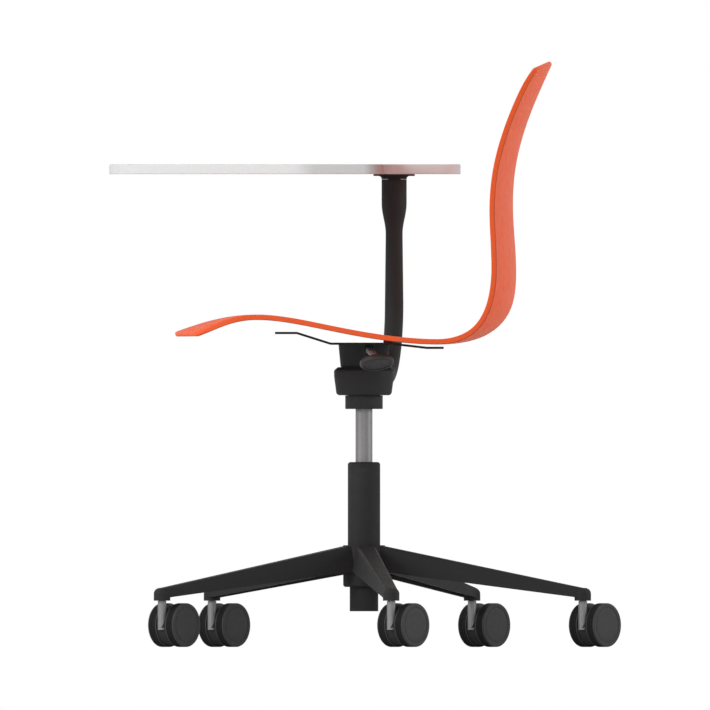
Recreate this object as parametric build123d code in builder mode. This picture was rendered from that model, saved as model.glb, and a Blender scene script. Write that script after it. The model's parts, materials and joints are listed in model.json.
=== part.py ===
from build123d import *
import os
from math import asin, atan2, degrees, sqrt

# Tablet arm swivel chair, in millimetres. The column stands on the Z axis and the floor is Z = 0.
# The sitter faces -Y, so +Y is the back of the chair and +X is the sitter's left hand.

# Clearances
running_gap = 0.2  # between flat faces that turn on each other
bearing_clearance = 0.05  # radial, a shaft in its bush
touch_clearance = 0.02  # pieces pushed or screwed together

# Base and column
leg_count = 5
leg_first_angle = 7.0  # degrees from +X
leg_reach = 312.0  # column axis to caster stem
leg_root_width = 41.0  # at the foot of the section, on the column axis
leg_root_crown = 27.0  # at the top of the section, on the column axis
leg_tip_width = 21.6
leg_tip_crown = 16.6
leg_root_top = 147.0  # height of the sloping top on the column axis
leg_root_bottom = 109.0
leg_tip_top = 82.8
leg_tip_bottom = 68.5
leg_wall = 3.6
leg_edge_radius = 4.5
rib_count = 3  # ribs across the hollow of each leg
rib_thickness = 3.0
boss_radius = 11.6  # round end of the leg, over the caster stem
boss_bottom = 64.8
boss_edge_radius = 8.4
hub_diameter = 58.5
hub_bottom = 84.0
hub_top = 142.5
hub_edge_radius = 3.5
column_diameter = 45.4
column_foot_diameter = 40.0
column_foot = 50.0  # height of the lower end
column_top = 259.0
column_bore = 35.0
column_cap_height = 8.0
column_cap_radius = 4.0  # rounding of the cap
floor_recess = 6.0  # the column floor sits this far up inside the tube
floor_thickness = 4.0
bush_length = 60.0

# Gas spring
gas_tube_diameter = 23.8
gas_tube_bore = 20.0
gas_taper = 1.8  # the upper end is narrower by this much in diameter
rod_diameter = 10.0
rod_end_diameter = 8.0
rod_tail = 4.5  # rod end below the column floor
clip_thickness = 1.6
clip_diameter = 17.0
race_thickness = 2.0
race_diameter = 30.0
ball_diameter = 5.0
ball_count = 10
ball_ring_diameter = 21.0
gland_length = 14.0
gland_inset = 1.0
piston_length = 12.0
lift_down = 55.0  # travel of the seat below its present height
lift_up = 65.0
lift_spare = 1.0  # room left at either end of the travel

# Casters
wheel_diameter = 61.4
wheel_width = 15.0
wheel_gap = 16.0  # between the two wheels of a caster
wheel_edge_radius = 1.5
wheel_cap_diameter = 50.4
wheel_recess = 0.6  # depth of the face below the rim
wheel_groove = 1.2
wheel_hub_diameter = 16.0
wheel_rim_wall = 5.0
wheel_web = 4.5
wheel_bore_depth = 10.0
axle_diameter = 6.0
axle_end_gap = 0.5
caster_trail = 27.0  # stem axis to axle
caster_heading = 141.0  # degrees from +X, from the stem to the axle
stem_diameter = 12.0
stem_foot = 24.0  # height of the lower end
stem_bar = 3.0  # foot below the window
window_height = 14.0
window_leg = 0.6  # steel left at either side of the window's foot
pin_diameter = 9.0
pin_length = 13.0
sleeve_wall = 1.2
frame_side_gap = 0.8  # caster frame to each wheel
frame_radius = 29.2

# Mechanism under the seat
neck_bottom = 333.2
ring_height = 17.8
ring_diameter = 52.6
ring_chamfer = 0.6
thread_diameter = 36.0
neck_diameter = 41.0
bush_wall = 2.4
bush_flange = 1.2
bush_flange_diameter = 64.0
collar_height = 39.4
collar_diameter = 84.0
collar_foot_diameter = 76.8
collar_crown_diameter = 73.0
collar_belly_rise = 27.0
collar_shoulder_drop = 4.6
collar_foot_radius = 5.0
collar_belly_radius = 60.0
collar_corner_radius = 3.5
collar_recess = 1.0  # the bush's flange lies this deep in the collar's top
collar_recess_gap = 0.5  # around the flange
housing_foot_diameter = 65.6
housing_top_diameter = 71.4
housing_cavity_diameter = 50.0
housing_floor = 9.5
plate_screw_pitch_x = 20.0
plate_screw_pitch_y = 56.0

# Seat plate
plate_top = 426.2
plate_thickness = 3.2
plate_width = 150.0
plate_bend_radius = 8.0
plate_corner_radius = 14.0
front_tab_end = 124.6  # ahead of the column
front_tab_start = 93.8
front_tab_rise = 15.0
flat_front = 46.5  # the middle flat, ahead of and behind the column
flat_rear = 38.0
rear_tab_start = 88.0
rear_tab_end = 111.6
rear_tab_drop = 5.8
seat_screw_row = 34.0  # behind the column, where the shell lies closest to the plate
seat_screw_inner = 28.0  # across the chair, either side of the middle
seat_screw_outer = 62.0

# Screws
screw_diameter = 5.0
screw_head_diameter = 10.0
screw_head_depth = 2.5
drive_span = 5.0  # cross slot in a screw head
drive_width = 1.2
drive_depth = 1.2
plate_screw_length = 14.0
seat_screw_length = 9.5
tablet_screw_length = 10.0
set_screw_diameter = 6.0
hex_radius = 1.5  # socket of a set screw, over its corners
hex_depth = 3.0
hex_sides = 6
dog_diameter = 3.0

# Lever
lever_pin_diameter = 5.0
lever_pin_length = 58.0
lever_pin_x = 17.0
lever_pin_drop = 5.5  # below the housing's top
lever_barrel_diameter = 10.4
lever_barrel_length = 22.0
lever_y = 5.2
lever_rod_diameter = 9.2
lever_rod_end = Vector(150.0, 20.4, 401.6)
lever_tongue_thickness = 4.0
lever_tongue_end = 5.0  # reach past the column axis
lever_slot_gap = 0.5  # around the rod where it leaves the housing
lever_pocket_depth = 11.5  # room for the barrel, from the housing's top
paddle_centre = Vector(150.0, 18.0, 398.6)
paddle_diameter = 48.0
paddle_thickness = 9.0
paddle_edge_radius = 3.6
paddle_dish_diameter = 38.0
paddle_dish_depth = 1.0
paddle_up = Vector(-0.355, -0.1, 0.93)  # direction that the paddle's upper face looks
button_diameter = 8.0
button_gap = 0.3  # lever to button at rest
button_reach = 6.0  # into the gas tube
button_hole_depth = 15.0

# Tablet arm
arm_reach = 300.0  # column axis to post axis
arm_setback = 42.2  # post axis behind the column
arm_diameter = 26.0
arm_root_diameter = 28.0
arm_bend_radius = 106.0
arm_boss_diameter = 29.0
arm_rise = 4.0  # arm axis above the middle of the collar
arm_boss_reach = 55.0
arm_tenon_diameter = 20.0
arm_tenon_length = 22.0
post_waist_diameter = 23.8
post_head_diameter = 35.2
post_head_height = 32.0
post_flare_height = 44.0
pivot_bush_wall = 2.0
pivot_bush_flange = 1.2
pivot_spindle_diameter = 18.0
pivot_spindle_length = 44.0
pivot_plate_diameter = 58.0
pivot_plate_thickness = 2.6
pivot_cone_height = 4.4
pivot_groove_drop = 20.0  # groove below the head's top
pivot_groove_depth = 2.0
groove_side_gap = 0.3
tablet_swing = 100.0  # degrees, outwards from the place over the lap

# Tablet
tablet_bottom = 662.0
tablet_thickness = 14.0
tablet_tail = 93.0  # reach behind the post
tablet_front = 399.0  # reach ahead of the post
tablet_half_neck = 58.0  # half the width beside the post
tablet_lap_edge = 14.0  # the sitter's edge, ahead of the post
tablet_span = 409.0  # post axis to the end over the lap
tablet_end_length = 113.0  # straight end over the lap, before the slanting front
tablet_slant = 148.0  # the slanting edge runs back by this much across the chair
tail_radius = 26.0
elbow_radius = 40.0
lap_radius = 28.0
slant_radius = 50.0
front_radius = 80.0
outer_radius = 120.0
edge_band = 2.0
edge_radius = 1.5
tablet_screw_circle = 44.0
tablet_screw_count = 4
tablet_screw_angle = 45.0  # of the first screw, from +X

# Seat shell
seat_half_width = 222.0
shell_thickness = 7.6
wing_depth = 27.8  # the sides of the back stand this far ahead of its middle
lip_bow = 34.0  # the front corners lie this far behind the middle of the lip
top_bow = 15.0  # the top edge falls this much from its middle to the seat's full width
front_corner_radius = 95.0
back_foot_half_width = 232.0
back_foot_height = 470.0
back_top_half_width = 188.0
back_corner_radius = 45.0
shell_boss_diameter = 12.0

# Middle line of the sitting surface: Y and Z, share of the wing, share of the lip's bow
sitting_stations = (
    ((-262.0, 442.0), 0.0, 1.0),
    ((-215.0, 457.0), 0.0, 0.55),
    ((-154.0, 465.4), 0.0, 0.1),
    ((-53.0, 451.4), 0.0, 0.0),
    ((36.0, 435.8), 0.0, 0.0),
    ((92.0, 431.2), 0.0, 0.0),
    ((146.7, 435.7), 0.55, 0.0),
    ((172.3, 445.9), 0.8, 0.0),
    ((193.6, 466.5), 1.0, 0.0),
    ((205.5, 519.4), 1.0, 0.0),
    ((201.3, 604.8), 1.0, 0.0),
    ((205.7, 677.6), 1.0, 0.0),
    ((224.8, 745.8), 1.0, 0.0),
    ((255.6, 817.4), 1.0, 0.0),
)
shell_sections = 9
shell_steps = 26
surface_halvings = 30

# Heights and places that follow
up = Vector(0, 0, 1)
wheel_radius = wheel_diameter / 2
floor_bottom = column_foot + floor_recess
floor_top = floor_bottom + floor_thickness
lower_race_top = floor_top + race_thickness
upper_race_bottom = lower_race_top + ball_diameter + 2 * touch_clearance
upper_race_top = upper_race_bottom + race_thickness
gas_tube_bottom = upper_race_top + lift_down + lift_spare
gland_top = gas_tube_bottom + gland_inset + gland_length
piston_bottom = gland_top + lift_up + lift_spare
ring_top = neck_bottom + ring_height
collar_bottom = ring_top + bush_flange + running_gap
collar_top = collar_bottom + collar_height
housing_bottom = collar_top - collar_recess + running_gap + bush_flange
housing_top = plate_top - plate_thickness
cavity_bottom = housing_bottom + housing_floor
neck_radius = neck_diameter / 2
bush_radius = neck_radius + bush_wall
lever_pin_z = housing_top - lever_pin_drop
tongue_bottom = lever_pin_z - lever_barrel_diameter / 2
button_top = tongue_bottom - button_gap
arm_level = (collar_bottom + collar_top) / 2 + arm_rise
arm_angle = degrees(atan2(arm_setback, -sqrt(arm_reach**2 - arm_setback**2)))
arm_way = Vector(1, 0, 0).rotate(Axis.Z, arm_angle)
arm_side = arm_way.cross(up)
post_foot = arm_way * arm_reach
post_axis = Axis(post_foot, up)
pivot_plate_bottom = tablet_bottom - pivot_plate_thickness
post_top = pivot_plate_bottom - pivot_cone_height - running_gap - pivot_bush_flange
groove_height = post_top - pivot_groove_drop
leg_angles = [leg_first_angle + 360 / leg_count * index for index in range(leg_count)]

os.makedirs("parts", exist_ok=True)


def keep(built, name):
    """Label a finished piece and write it."""
    built.part.label = name
    export_step(built.part, f"parts/{name}.step")


def upright(origin, way):
    """Plane through a point, with its x along a level direction and its y upwards."""
    return Plane(origin=origin, x_dir=way, z_dir=Vector(way).cross(up))


def half_section(points, plane=Plane.XZ):
    """Face through corner points given as radius and height."""
    with BuildSketch(plane) as section:
        with BuildLine():
            Polyline(*points, close=True)
        make_face()
    return section.sketch


def tube_section(inner, outer, bottom, top, plane=Plane.XZ):
    """Half section of a plain ring or tube, from its two radii and its two heights."""
    return half_section(((inner, bottom), (outer, bottom), (outer, top), (inner, top)), plane)


def flat_screw(length):
    """One flat-head screw hanging below the origin, its head flush with it."""
    head = screw_head_diameter / 2
    shank = screw_diameter / 2
    with BuildPart() as screw:
        revolve(
            half_section(((0, 0), (head, 0), (shank, -screw_head_depth), (shank, -length), (0, -length))),
            axis=Axis.Z,
        )
        with BuildSketch():
            Rectangle(drive_span, drive_width)
            Rectangle(drive_width, drive_span)
        extrude(amount=-drive_depth, mode=Mode.SUBTRACT)
    return screw.part


# Five-leg base
def along_leg(reach, root, tip):
    """A size that changes evenly from the column axis to the caster stem."""
    return root + (tip - root) * reach / leg_reach


def leg_profile(reach, wall, drop):
    """Section across a leg, drawn in by a wall and let down by a drop."""
    half_foot = along_leg(reach, leg_root_width, leg_tip_width) / 2 - wall
    half_crown = along_leg(reach, leg_root_crown, leg_tip_crown) / 2 - wall
    top = along_leg(reach, leg_root_top, leg_tip_top) - wall
    foot = along_leg(reach, leg_root_bottom, leg_tip_bottom) - drop
    with BuildSketch(Plane(origin=(reach, 0, 0), x_dir=(0, 1, 0), z_dir=(1, 0, 0))) as profile:
        with BuildLine():
            Polyline(
                (-half_foot, foot),
                (half_foot, foot),
                (half_crown, top),
                (-half_crown, top),
                close=True,
            )
        make_face()
        rounding = leg_edge_radius * half_crown * 2 / leg_root_crown
        fillet(profile.vertices().group_by(Axis.Y)[-1], rounding)
    return profile.sketch


hollow_start = hub_diameter / 2 + leg_wall
hollow_end = leg_reach - boss_radius - leg_wall
sleeve_radius = pin_diameter / 2 + bearing_clearance + sleeve_wall
with BuildPart() as leg:
    loft([leg_profile(0, 0, 0), leg_profile(leg_reach, 0, 0)])
    loft(
        [leg_profile(reach, leg_wall, leg_wall) for reach in (hollow_start, hollow_end)],
        mode=Mode.SUBTRACT,
    )
    for index in range(rib_count):
        rib_reach = hollow_start + (hollow_end - hollow_start) * (index + 1) / (rib_count + 1)
        extrude(leg_profile(rib_reach, leg_wall / 2, -leg_wall), amount=rib_thickness / 2, both=True)
    with BuildSketch(Plane.XZ) as boss_section:
        with Locations((leg_reach, boss_bottom)):
            Rectangle(boss_radius, leg_tip_top - boss_bottom, align=(Align.MIN, Align.MIN))
        boss_corner = boss_section.vertices().sort_by_distance((leg_reach + boss_radius, leg_tip_top))[0]
        fillet(boss_corner, boss_edge_radius)
    revolve(axis=Axis((leg_reach, 0, 0), (0, 0, 1)))
    with Locations(Location((leg_reach, 0, boss_bottom), (180, 0, 0))):
        Hole(sleeve_radius, pin_length + running_gap)

column_socket = (
    (0, hub_bottom - hub_edge_radius),
    (column_foot_diameter / 2 + touch_clearance, hub_bottom - hub_edge_radius),
    (column_foot_diameter / 2 + touch_clearance, hub_bottom),
    (column_diameter / 2 + touch_clearance, hub_top),
    (column_diameter / 2 + touch_clearance, leg_root_top),
    (0, leg_root_top),
)
with BuildPart() as base_star:
    with BuildSketch(Plane.XY.offset(hub_bottom)):
        Circle(hub_diameter / 2)
    extrude(amount=hub_top - hub_bottom)
    fillet(base_star.edges().group_by(Axis.Z)[0], hub_edge_radius)
    for leg_angle in leg_angles:
        add(leg.part.rotate(Axis.Z, leg_angle))
    revolve(half_section(column_socket), axis=Axis.Z, mode=Mode.SUBTRACT)
keep(base_star, "base_star")

with BuildPart() as stem_sleeves:
    with BuildSketch(Plane.XY.offset(boss_bottom)):
        with PolarLocations(leg_reach, leg_count, start_angle=leg_first_angle):
            Circle(sleeve_radius - touch_clearance)
            Circle(pin_diameter / 2 + bearing_clearance, mode=Mode.SUBTRACT)
    extrude(amount=pin_length)
keep(stem_sleeves, "stem_sleeves")

# Column
cap_bottom = column_top - column_cap_height
with BuildPart() as column_tube:
    revolve(
        half_section(
            (
                (column_bore / 2, column_foot),
                (column_foot_diameter / 2, column_foot),
                (column_foot_diameter / 2, hub_bottom),
                (column_diameter / 2, hub_top),
                (column_diameter / 2, cap_bottom),
                (column_bore / 2, cap_bottom),
            )
        ),
        axis=Axis.Z,
    )
keep(column_tube, "column_tube")

with BuildPart() as column_floor:
    revolve(
        tube_section(
            rod_end_diameter / 2 + bearing_clearance,
            column_bore / 2 - touch_clearance,
            floor_bottom,
            floor_top,
        ),
        axis=Axis.Z,
    )
keep(column_floor, "column_floor")

guide_radius = gas_tube_diameter / 2 + bearing_clearance
with BuildPart() as column_bush:
    revolve(
        tube_section(guide_radius, column_bore / 2 - touch_clearance, cap_bottom - bush_length, cap_bottom),
        axis=Axis.Z,
    )
keep(column_bush, "column_bush")

with BuildPart() as column_cap:
    with BuildSketch(Plane.XZ) as cap_section:
        with Locations((column_diameter / 2, cap_bottom)):
            cap_wall = column_diameter / 2 - guide_radius - running_gap
            Rectangle(cap_wall, column_cap_height, align=(Align.MAX, Align.MIN))
        cap_corner = cap_section.vertices().sort_by_distance((column_diameter / 2, column_top))[0]
        fillet(cap_corner, column_cap_radius)
    revolve(axis=Axis.Z)
keep(column_cap, "column_cap")

with BuildPart() as thrust_bearing:
    revolve(
        tube_section(rod_end_diameter / 2 + running_gap, race_diameter / 2, floor_top, lower_race_top),
        axis=Axis.Z,
    )
    with PolarLocations(ball_ring_diameter / 2, ball_count):
        with Locations((0, 0, lower_race_top + touch_clearance + ball_diameter / 2)):
            Sphere(ball_diameter / 2)
keep(thrust_bearing, "thrust_bearing")

# Gas spring
with BuildPart() as upper_race:
    revolve(
        tube_section(rod_end_diameter / 2, race_diameter / 2, upper_race_bottom, upper_race_top),
        axis=Axis.Z,
    )
keep(upper_race, "upper_race")

clip_top = floor_bottom - running_gap
clip_neck = rod_end_diameter / 2 - clip_thickness / 2
with BuildPart() as piston_rod:
    revolve(
        half_section(
            (
                (0, floor_bottom - rod_tail),
                (rod_end_diameter / 2, floor_bottom - rod_tail),
                (rod_end_diameter / 2, clip_top - clip_thickness),
                (clip_neck, clip_top - clip_thickness),
                (clip_neck, clip_top),
                (rod_end_diameter / 2, clip_top),
                (rod_end_diameter / 2, upper_race_top),
                (rod_diameter / 2, upper_race_top),
                (rod_diameter / 2, piston_bottom + piston_length),
                (0, piston_bottom + piston_length),
            )
        ),
        axis=Axis.Z,
    )
keep(piston_rod, "piston_rod")

with BuildPart() as rod_clip:
    with BuildSketch(Plane.XY.offset(clip_top - clip_thickness)):
        Circle(clip_diameter / 2)
        Circle(clip_neck, mode=Mode.SUBTRACT)
        with Locations((clip_diameter / 2, 0)):
            Rectangle(clip_diameter, clip_neck * 2, mode=Mode.SUBTRACT)
    extrude(amount=clip_thickness)
keep(rod_clip, "rod_clip")

with BuildPart() as gas_piston:
    revolve(
        tube_section(
            rod_diameter / 2,
            gas_tube_bore / 2 - bearing_clearance,
            piston_bottom,
            piston_bottom + piston_length,
        ),
        axis=Axis.Z,
    )
keep(gas_piston, "gas_piston")

gas_tube_top = cavity_bottom
tube_radius = gas_tube_diameter / 2
tube_end_radius = tube_radius - gas_taper / 2
button_hole = button_diameter / 2 + bearing_clearance
plug_bottom = gas_tube_top - button_hole_depth
with BuildPart() as gas_tube:
    revolve(
        half_section(
            (
                (gas_tube_bore / 2, gas_tube_bottom),
                (tube_radius, gas_tube_bottom),
                (tube_radius, neck_bottom),
                (tube_end_radius, gas_tube_top),
                (button_hole, gas_tube_top),
                (button_hole, plug_bottom),
                (gas_tube_bore / 2, plug_bottom),
            )
        ),
        axis=Axis.Z,
    )
keep(gas_tube, "gas_tube")

with BuildPart() as rod_gland:
    revolve(
        tube_section(
            rod_diameter / 2 + bearing_clearance,
            gas_tube_bore / 2 - touch_clearance,
            gas_tube_bottom + gland_inset,
            gland_top,
        ),
        axis=Axis.Z,
    )
keep(rod_gland, "rod_gland")

button_foot = gas_tube_top - button_reach
with BuildPart() as valve_button:
    with BuildSketch(Plane.XY.offset(button_foot)):
        Circle(button_diameter / 2)
    extrude(amount=button_top - button_foot)
keep(valve_button, "valve_button")

# Mechanism housing, with its neck
lever_point = Vector(lever_pin_x, lever_y, lever_pin_z)
rod_way = lever_rod_end - lever_point
rod_plane = Plane(origin=lever_point, x_dir=up.cross(rod_way), z_dir=rod_way)
rod_room = lever_rod_diameter / 2 + lever_slot_gap
barrel_room = lever_barrel_diameter / 2 + running_gap
with BuildPart() as mechanism_housing:
    revolve(
        half_section(
            (
                (tube_radius + touch_clearance, neck_bottom),
                (thread_diameter / 2, neck_bottom),
                (thread_diameter / 2, ring_top),
                (neck_radius, ring_top),
                (neck_radius, housing_bottom),
                (housing_foot_diameter / 2, housing_bottom),
                (housing_top_diameter / 2, housing_top),
                (housing_cavity_diameter / 2, housing_top),
                (housing_cavity_diameter / 2, cavity_bottom),
                (tube_end_radius + touch_clearance, cavity_bottom),
            )
        ),
        axis=Axis.Z,
    )
    with Locations((0, 0, housing_top)):
        with GridLocations(plate_screw_pitch_x, plate_screw_pitch_y, 2, 2):
            Hole(screw_diameter / 2, plate_screw_length - plate_thickness + touch_clearance)
    with BuildSketch(Plane.XY.offset(housing_top - lever_pocket_depth)):
        with Locations((lever_pin_x, lever_y)):
            Rectangle(2 * barrel_room, lever_barrel_length + 2 * running_gap)
    extrude(amount=lever_pocket_depth, mode=Mode.SUBTRACT)
    with BuildSketch(rod_plane):
        Circle(rod_room)
        Rectangle(2 * rod_room, lever_pocket_depth, align=(Align.CENTER, Align.MIN))
    extrude(amount=housing_top_diameter, mode=Mode.SUBTRACT)
    with BuildSketch(Plane.XZ):
        with Locations((lever_pin_x, lever_pin_z)):
            Circle(lever_pin_diameter / 2)
            Rectangle(lever_pin_diameter, lever_pin_drop, align=(Align.CENTER, Align.MIN))
    extrude(amount=lever_pin_length / 2 + touch_clearance, both=True, mode=Mode.SUBTRACT)
keep(mechanism_housing, "mechanism_housing")

ring_bore = thread_diameter / 2 + touch_clearance
with BuildPart() as retaining_ring:
    revolve(tube_section(ring_bore, ring_diameter / 2, neck_bottom, ring_top), axis=Axis.Z)
    chamfer(retaining_ring.edges().group_by(Axis.Z)[0].sort_by(SortBy.LENGTH)[-1], ring_chamfer)
keep(retaining_ring, "retaining_ring")

with BuildPart() as collar_washer:
    washer_bore = neck_radius + touch_clearance
    revolve(
        tube_section(washer_bore, ring_diameter / 2, ring_top, ring_top + bush_flange),
        axis=Axis.Z,
    )
keep(collar_washer, "collar_washer")

with BuildPart() as collar_bush:
    revolve(
        half_section(
            (
                (neck_radius + touch_clearance, ring_top + bush_flange),
                (bush_radius, ring_top + bush_flange),
                (bush_radius, housing_bottom - bush_flange),
                (bush_flange_diameter / 2, housing_bottom - bush_flange),
                (bush_flange_diameter / 2, housing_bottom),
                (neck_radius + touch_clearance, housing_bottom),
            )
        ),
        axis=Axis.Z,
    )
keep(collar_bush, "collar_bush")

# Bent seat plate
seat_screw_places = [
    Vector(side * reach, seat_screw_row, plate_top)
    for reach in (seat_screw_inner, seat_screw_outer)
    for side in (-1, 1)
]
with BuildPart() as seat_plate:
    with BuildSketch(Plane.YZ):
        with BuildLine():
            FilletPolyline(
                (-front_tab_end, plate_top + front_tab_rise),
                (-front_tab_start, plate_top + front_tab_rise),
                (-flat_front, plate_top),
                (flat_rear, plate_top),
                (rear_tab_start, plate_top - rear_tab_drop),
                (rear_tab_end, plate_top - rear_tab_drop),
                radius=plate_bend_radius,
            )
            offset(amount=plate_thickness, side=Side.RIGHT)
        make_face()
    extrude(amount=plate_width / 2, both=True)
    fillet(seat_plate.edges().filter_by(Axis.Z), plate_corner_radius)
    with Locations((0, 0, plate_top)):
        with GridLocations(plate_screw_pitch_x, plate_screw_pitch_y, 2, 2):
            CounterSinkHole(screw_diameter / 2, screw_head_diameter / 2, plate_thickness)
    with Locations(*[Location(place - up * plate_thickness, (180, 0, 0)) for place in seat_screw_places]):
        CounterSinkHole(screw_diameter / 2, screw_head_diameter / 2, plate_thickness)
keep(seat_plate, "seat_plate")

with BuildPart() as plate_screws:
    with Locations((0, 0, plate_top)):
        with GridLocations(plate_screw_pitch_x, plate_screw_pitch_y, 2, 2):
            add(flat_screw(plate_screw_length))
keep(plate_screws, "plate_screws")

with BuildPart() as seat_screws:
    with Locations(*[Location(place - up * plate_thickness, (180, 0, 0)) for place in seat_screw_places]):
        add(flat_screw(seat_screw_length))
keep(seat_screws, "seat_screws")


# Seat shell
def sitting_line(across):
    """Curve of the sitting surface, lip to top, at a distance across the chair."""
    spread = (across / seat_half_width) ** 2
    points = [
        Vector(setback - wing_depth * wing * spread + lip_bow * lip * spread, height)
        for (setback, height), wing, lip in sitting_stations
    ]
    top_step = points[-1] - points[-2]
    points[-1] = points[-1] - top_step * (top_bow * spread / top_step.Y)
    return Spline(*points)


def shell_section(across):
    """Closed section of the shell, with rounded ends."""
    line = sitting_line(across)
    under = []
    for step in range(shell_steps + 1):
        way = line % (step / shell_steps)
        under.append(line @ (step / shell_steps) + Vector(way.Y, -way.X) * shell_thickness)
    lip_end = (line @ 0 + under[0]) / 2 - (line % 0) * shell_thickness / 2
    top_end = (line @ 1 + under[-1]) / 2 + (line % 1) * shell_thickness / 2
    with BuildSketch(Plane(origin=(across, 0, 0), x_dir=(0, 1, 0), z_dir=(1, 0, 0))) as section:
        with BuildLine():
            add(line)
            ThreePointArc(line @ 1, top_end, under[-1])
            Spline(*reversed(under))
            ThreePointArc(under[0], lip_end, line @ 0)
        make_face()
    return section.sketch


def seat_surface(setback):
    """Height of the sitting surface on the middle line, over the level part of the seat."""
    line = sitting_line(0)
    low, high = 0.0, 0.5
    for halving in range(surface_halvings):
        middle = (low + high) / 2
        if (line @ middle).X < setback:
            low = middle
        else:
            high = middle
    return (line @ low).Y


section_reach = back_foot_half_width + shell_thickness
section_places = [
    (2 * index / (shell_sections - 1) - 1) * section_reach for index in range(shell_sections)
]
lip_front = sitting_stations[0][0][0] - shell_thickness
shell_top = sitting_stations[-1][0][1] + shell_thickness / 2
corner_top = shell_top - top_bow * (back_top_half_width / seat_half_width) ** 2
shell_rear = sitting_stations[-1][0][0] + 2 * shell_thickness
with BuildPart() as seat_shell:
    loft([shell_section(across) for across in section_places])
    with BuildSketch() as plan:
        with Locations((0, lip_front)):
            Rectangle(2 * seat_half_width, shell_rear - lip_front, align=(Align.CENTER, Align.MIN))
        fillet(plan.vertices().group_by(Axis.Y)[0], front_corner_radius)
    extrude(amount=shell_top, mode=Mode.INTERSECT)
    with BuildSketch(Plane.XZ) as front:
        with BuildLine():
            Polyline(
                (back_top_half_width, corner_top),
                (back_foot_half_width, back_foot_height),
                (back_foot_half_width, 0),
                (-back_foot_half_width, 0),
                (-back_foot_half_width, back_foot_height),
                (-back_top_half_width, corner_top),
            )
            ThreePointArc(
                (-back_top_half_width, corner_top),
                (0, shell_top),
                (back_top_half_width, corner_top),
            )
        make_face()
        fillet(front.vertices().group_by(Axis.Y)[-1], back_corner_radius)
    extrude(amount=shell_rear - lip_front, both=True, mode=Mode.INTERSECT)
    for place in seat_screw_places:
        with BuildSketch(Plane.XY.offset(place.Z)):
            with Locations((place.X, place.Y)):
                Circle(shell_boss_diameter / 2)
        extrude(amount=seat_surface(place.Y) - shell_thickness / 2 - place.Z)
    with Locations(*[Location(place, (180, 0, 0)) for place in seat_screw_places]):
        Hole(screw_diameter / 2, seat_screw_length - plate_thickness + touch_clearance)
keep(seat_shell, "seat_shell")

# Height lever
with BuildPart() as lever_pin:
    with BuildSketch(Plane.XZ):
        with Locations((lever_pin_x, lever_pin_z)):
            Circle(lever_pin_diameter / 2)
    extrude(amount=lever_pin_length / 2, both=True)
keep(lever_pin, "lever_pin")

rod_length = rod_way.length
barrel_plane = Plane.XZ.offset(-lever_y)
with BuildPart() as lever_rod:
    with BuildSketch(barrel_plane):
        with Locations((lever_pin_x, lever_pin_z)):
            Circle(lever_barrel_diameter / 2)
    extrude(amount=lever_barrel_length / 2, both=True)
    with BuildSketch(Plane.XY.offset(tongue_bottom)):
        with Locations((lever_pin_x, lever_y)):
            Rectangle(
                lever_pin_x + lever_tongue_end,
                lever_barrel_length,
                align=(Align.MAX, Align.CENTER),
            )
    extrude(amount=lever_tongue_thickness)
    with BuildSketch(rod_plane):
        Circle(lever_rod_diameter / 2)
    extrude(amount=rod_length)
    with BuildSketch(barrel_plane):
        with Locations((lever_pin_x, lever_pin_z)):
            Circle(lever_pin_diameter / 2 + bearing_clearance)
    extrude(amount=lever_barrel_length, both=True, mode=Mode.SUBTRACT)
keep(lever_rod, "lever_rod")

paddle_plane = Plane(origin=paddle_centre, z_dir=paddle_up)
with BuildPart() as lever_paddle:
    with BuildSketch(paddle_plane):
        Circle(paddle_diameter / 2)
    extrude(amount=paddle_thickness / 2, both=True)
    fillet(lever_paddle.edges().filter_by(GeomType.CIRCLE), paddle_edge_radius)
    with BuildSketch(paddle_plane.offset(-paddle_thickness / 2)):
        Circle(paddle_dish_diameter / 2)
    extrude(amount=paddle_dish_depth, mode=Mode.SUBTRACT)
    with BuildSketch(rod_plane):
        Circle(lever_rod_diameter / 2)
    extrude(amount=rod_length, mode=Mode.SUBTRACT)
keep(lever_paddle, "lever_paddle")

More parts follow.
